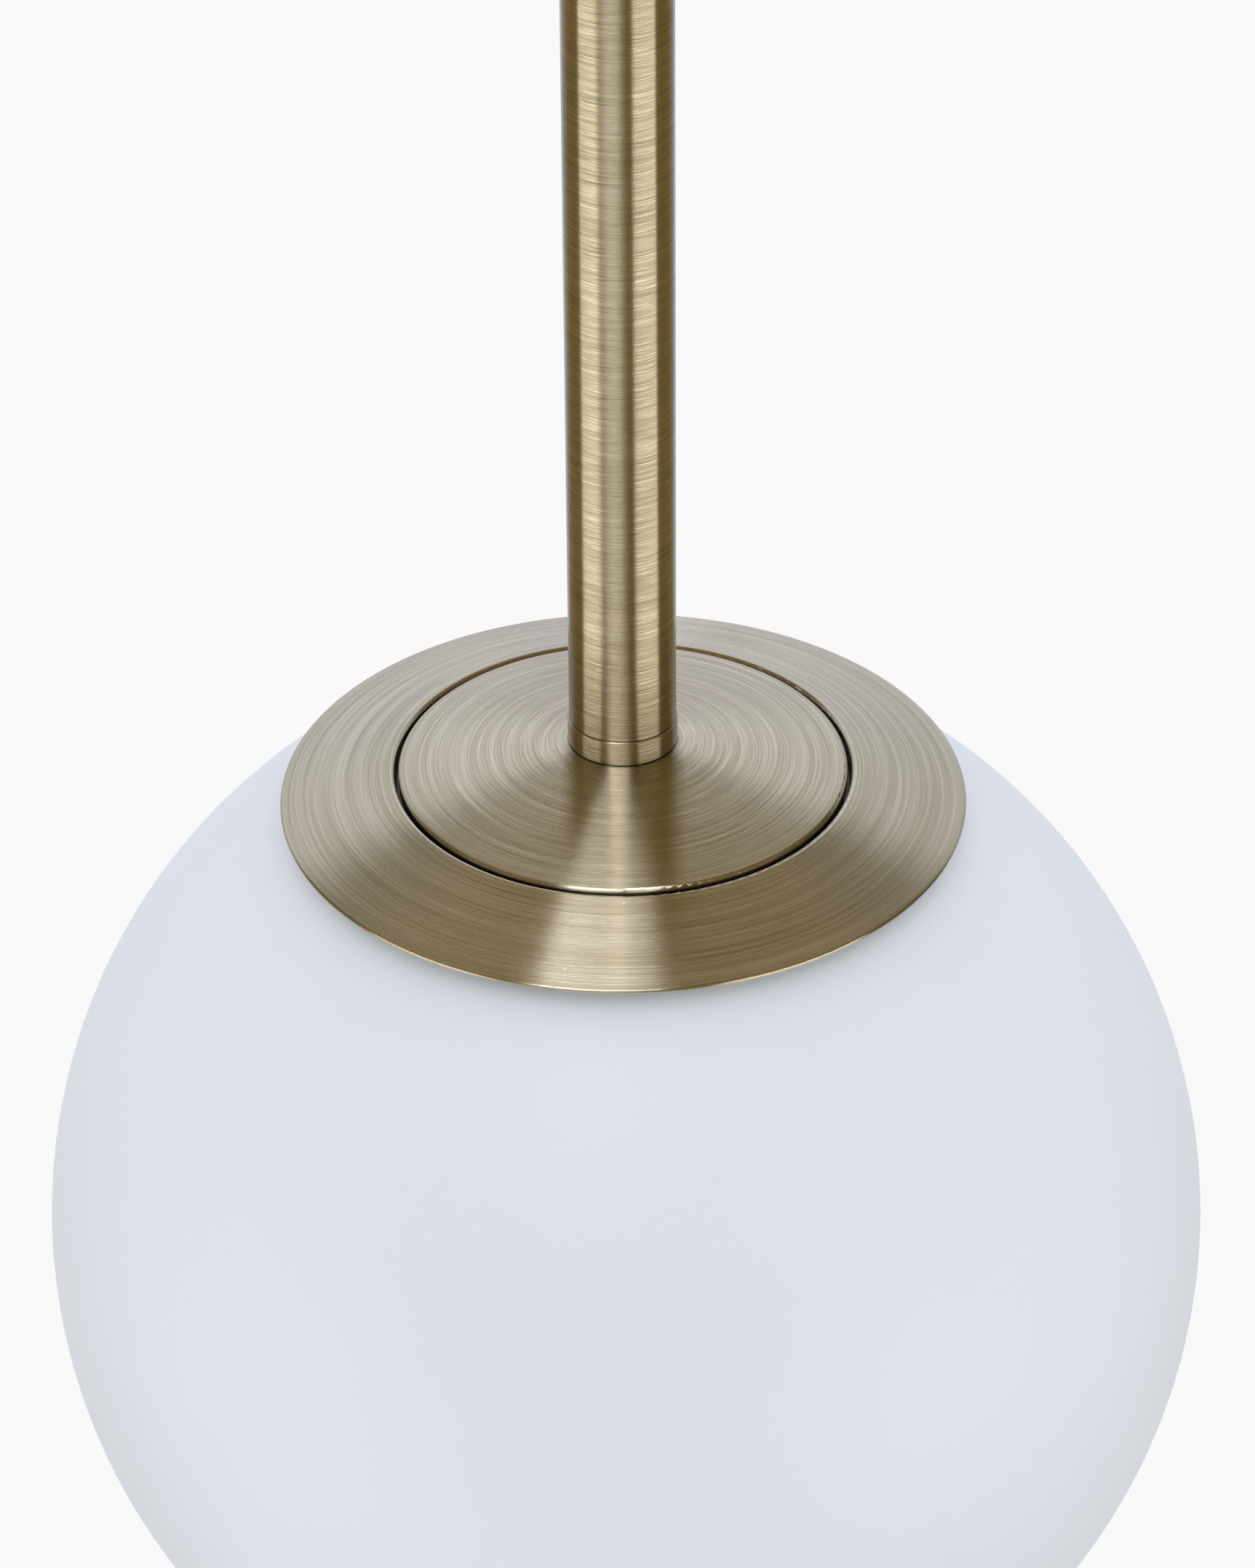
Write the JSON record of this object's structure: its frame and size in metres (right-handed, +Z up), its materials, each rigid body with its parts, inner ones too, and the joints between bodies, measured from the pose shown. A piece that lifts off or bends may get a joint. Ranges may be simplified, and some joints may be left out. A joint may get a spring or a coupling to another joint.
{
  "type": "pendant light",
  "caption": "Rod pendant light: ball-swivel canopy, brass tube, conical cap and screw-on ring, opal glass globe, lampholder and lamp.",
  "frame": {"origin": "middle of the ceiling bracket's upper face, where it lies on the ceiling", "axes": "+Z up into the ceiling, the rod hangs along -Z; +X along the bracket through its two slots; +Y towards the terminal block"},
  "size_m": [0.18, 0.18, 0.5779],
  "materials": {
    "antique_brass": "circular-brushed, darkened and lacquered",
    "plain_brass": "pressed or turned, bare",
    "zinc_steel": "zinc plated",
    "spring_steel": "tempered strip",
    "white_nylon": "moulded",
    "black_phenolic": "moulded thermoset",
    "steatite": "unglazed",
    "fibre": "vulcanised fibre",
    "silicone": "translucent white",
    "opal_glass": "opal, satin outside",
    "lamp_nickel": "nickel plated",
    "lamp_glass": "black vitrified insulator",
    "lamp_housing_white": "moulded",
    "lamp_diffuser_opal": "opal, satin",
    "board_aluminium": "plain",
    "flex_sheath": "extruded",
    "core_brown": "extruded",
    "core_blue": "extruded",
    "core_green_yellow": "extruded, striped"
  },
  "bodies": {
    "root": {"ceiling_bracket": "zinc_steel", "terminal_housing": "white_nylon", "terminal_tubes": "plain_brass", "terminal_screws": "zinc_steel", "terminal_fixing_screw": "zinc_steel", "earth_screw": "zinc_steel", "bracket_earth_tag": "zinc_steel", "live_tail": "core_brown", "neutral_tail": "core_blue", "earth_tail": "core_green_yellow", "canopy": "antique_brass", "canopy_screws": "antique_brass"},
    "swivel_seat": {"swivel_seat": "antique_brass"},
    "pendant": {"swivel_ball": "antique_brass", "upper_nipple": "zinc_steel", "nipple_washers": "zinc_steel", "nipple_nuts": "zinc_steel", "upper_collar": "antique_brass", "rod": "antique_brass", "rod_bushes": "plain_brass", "rod_collar": "antique_brass", "flex": "flex_sheath", "lower_nipple": "zinc_steel", "centre_cap": "antique_brass", "shade_carrier": "zinc_steel", "holder_cap": "black_phenolic", "holder_body": "black_phenolic", "holder_insulator": "steatite", "holder_terminals": "plain_brass", "holder_screws": "zinc_steel", "contact_leaf": "plain_brass", "screw_shell": "plain_brass", "holder_earth_tag": "zinc_steel", "live_core": "core_brown", "neutral_core": "core_blue", "earth_core": "core_green_yellow"},
    "slip_washer": {"slip_washer": "fibre"},
    "shade": {"shade_ring": "antique_brass", "glass_gasket": "silicone", "glass_clips": "spring_steel", "clip_pads": "silicone", "glass_globe": "opal_glass"},
    "lamp_contact": {"centre_contact": "plain_brass"},
    "lamp": {"lamp_tip": "lamp_nickel", "lamp_insulator": "lamp_glass", "lamp_cap": "lamp_nickel", "lamp_housing": "lamp_housing_white", "lamp_board": "board_aluminium", "lamp_diffuser": "lamp_diffuser_opal"}
  },
  "joints": [
    {"name": "swivel_turn", "type": "hinge", "parent": "root", "child": "swivel_seat", "pos_m": [0, 0, -0.01769], "axis": [0, 0, 1], "range_deg": [-170, 170]},
    {"name": "swivel_tilt", "type": "hinge", "parent": "swivel_seat", "child": "pendant", "pos_m": [0, 0, -0.01769], "axis": [1, 0, 0], "range_deg": [-20, 20]},
    {"name": "shade_unscrew", "type": "hinge", "parent": "pendant", "child": "slip_washer", "pos_m": [0, 0, -0.40769], "axis": [0, 0, -1], "range_deg": [0, 720]},
    {"name": "shade_lower", "type": "slide", "parent": "slip_washer", "child": "shade", "axis": [0, 0, -1], "range_m": [0, 0.008]},
    {"name": "lamp_unscrew", "type": "hinge", "parent": "pendant", "child": "lamp_contact", "pos_m": [0, 0, -0.44194], "axis": [0, 0, -1], "range_deg": [0, 1080]},
    {"name": "lamp_lower", "type": "slide", "parent": "lamp_contact", "child": "lamp", "axis": [0, 0, -1], "range_m": [0, 0.01089]}
  ],
  "couplings": [
    {"joint": "shade_unscrew", "follows": "shade_lower", "rad_per_m": 1570.8},
    {"joint": "lamp_unscrew", "follows": "lamp_lower", "rad_per_m": 1731.4}
  ]
}
